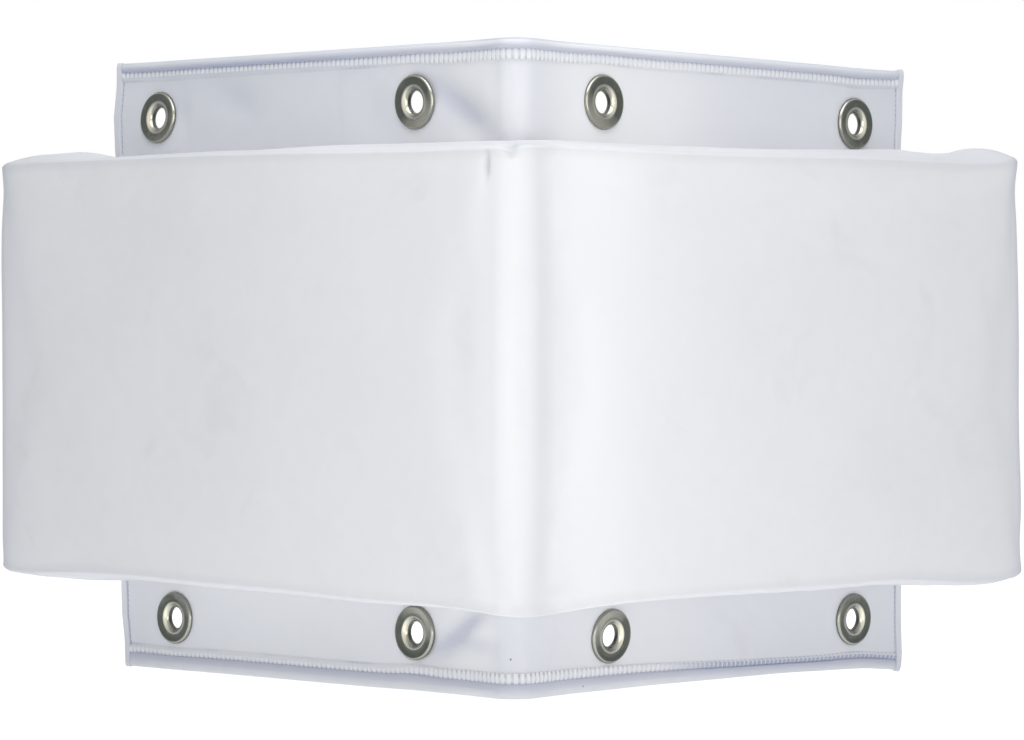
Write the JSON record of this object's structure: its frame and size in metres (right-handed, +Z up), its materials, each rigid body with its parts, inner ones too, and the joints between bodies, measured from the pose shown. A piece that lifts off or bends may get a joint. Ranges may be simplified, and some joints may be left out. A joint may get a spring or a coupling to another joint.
{
  "type": "dock corner bumper",
  "caption": "L-shaped foam pad in white vinyl that wraps the outside corner of a dock, with grommeted fixing flaps above and below.",
  "frame": {"origin": "under the middle of the bumper's box, level with the lower flap's hem", "axes": "+Z up the dock's corner; one leg runs along +X with its dock face towards +Y, the other runs along +Y with its dock face towards +X; the padded corner points towards -X and -Y"},
  "size_m": [0.3576, 0.3576, 0.2961],
  "materials": {
    "cover_vinyl": "smooth satin PVC-coated fabric, white with a faint weave",
    "back_vinyl": "matt PVC-coated fabric, white",
    "flap_vinyl": "satin PVC-coated fabric, cool white, hemmed",
    "thread": "white polyester sewing thread, overlock ladder stitch",
    "foam": "closed-cell polyethylene foam",
    "nickel": "satin nickel plate, slightly tarnished"
  },
  "bodies": {
    "root": {"foam_core": "foam", "front_cover": "cover_vinyl", "back_panel": "back_vinyl", "upper_flap": "flap_vinyl", "upper_hem_stitching": "thread", "lower_flap": "flap_vinyl", "lower_hem_stitching": "thread", "upper_right_inner_eyelet": "nickel", "upper_right_inner_washer": "nickel", "upper_right_outer_eyelet": "nickel", "upper_right_outer_washer": "nickel", "upper_left_inner_eyelet": "nickel", "upper_left_inner_washer": "nickel", "upper_left_outer_eyelet": "nickel", "upper_left_outer_washer": "nickel", "lower_right_inner_eyelet": "nickel", "lower_right_inner_washer": "nickel", "lower_right_outer_eyelet": "nickel", "lower_right_outer_washer": "nickel", "lower_left_inner_eyelet": "nickel", "lower_left_inner_washer": "nickel", "lower_left_outer_eyelet": "nickel", "lower_left_outer_washer": "nickel"}
  },
  "joints": []
}
